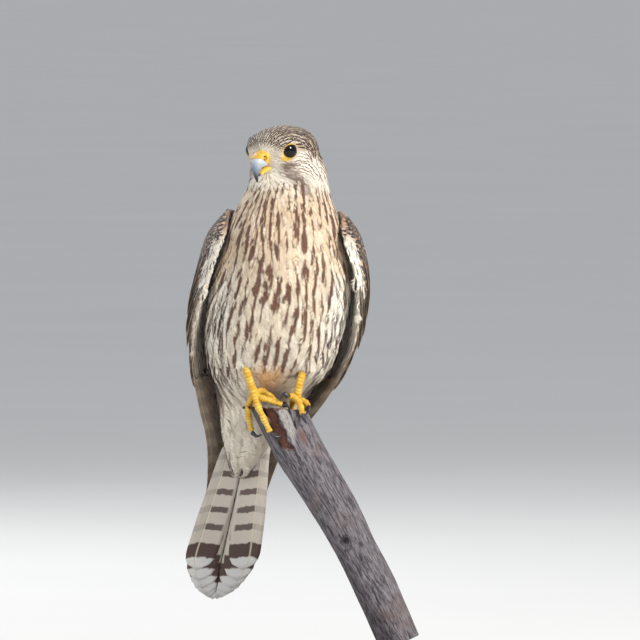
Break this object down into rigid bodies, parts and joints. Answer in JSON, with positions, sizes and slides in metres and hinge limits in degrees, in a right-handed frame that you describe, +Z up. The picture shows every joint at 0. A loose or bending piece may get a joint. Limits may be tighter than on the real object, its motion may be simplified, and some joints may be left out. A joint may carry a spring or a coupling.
{
  "type": "common kestrel",
  "caption": "Small falcon resting on the broken end of a leaning branch, wings folded and tail hanging, on a plain disc stand.",
  "frame": {"origin": "centre of the stand base's underside", "axes": "+Z up; the bird's breast faces -Y, its left side is +X; the branch rises from +X to -X"},
  "size_m": [0.1655, 0.164, 0.3487],
  "materials": {
    "plumage": "soft barbed contour feathers",
    "wing_feathers": "stiff overlapping vanes",
    "tail_feathers": "stiff overlapping vanes",
    "eye": "wet gloss",
    "bare_skin": "fine scales",
    "bill": "smooth horn",
    "claw": "smooth horn",
    "branch": "weathered bark",
    "stand_wood": "oiled satin",
    "stand_steel": "satin"
  },
  "bodies": {
    "root": {"shank_right": "bare_skin", "thigh_right": "plumage", "toe_right_middle": "bare_skin", "toe_right_inner": "bare_skin", "toe_right_outer": "bare_skin", "toe_right_hallux": "bare_skin", "claw_right_hallux": "claw", "claw_right_inner": "claw", "claw_right_middle": "claw", "claw_right_outer": "claw", "shank_left": "bare_skin", "thigh_left": "plumage", "toe_left_middle": "bare_skin", "toe_left_inner": "bare_skin", "toe_left_outer": "bare_skin", "toe_left_hallux": "bare_skin", "claw_left_hallux": "claw", "claw_left_inner": "claw", "claw_left_middle": "claw", "claw_left_outer": "claw", "wing_right": "wing_feathers", "wing_left": "wing_feathers", "eye_right": "eye", "lid_right": "bare_skin", "eye_left": "eye", "lid_left": "bare_skin", "head": "plumage", "cere": "bare_skin", "bill_upper": "bill", "bill_lower": "bill", "neck": "plumage", "torso": "plumage", "tail": "tail_feathers", "perch": "branch", "stand_base": "stand_wood", "stand_rod": "stand_steel"}
  },
  "joints": []
}
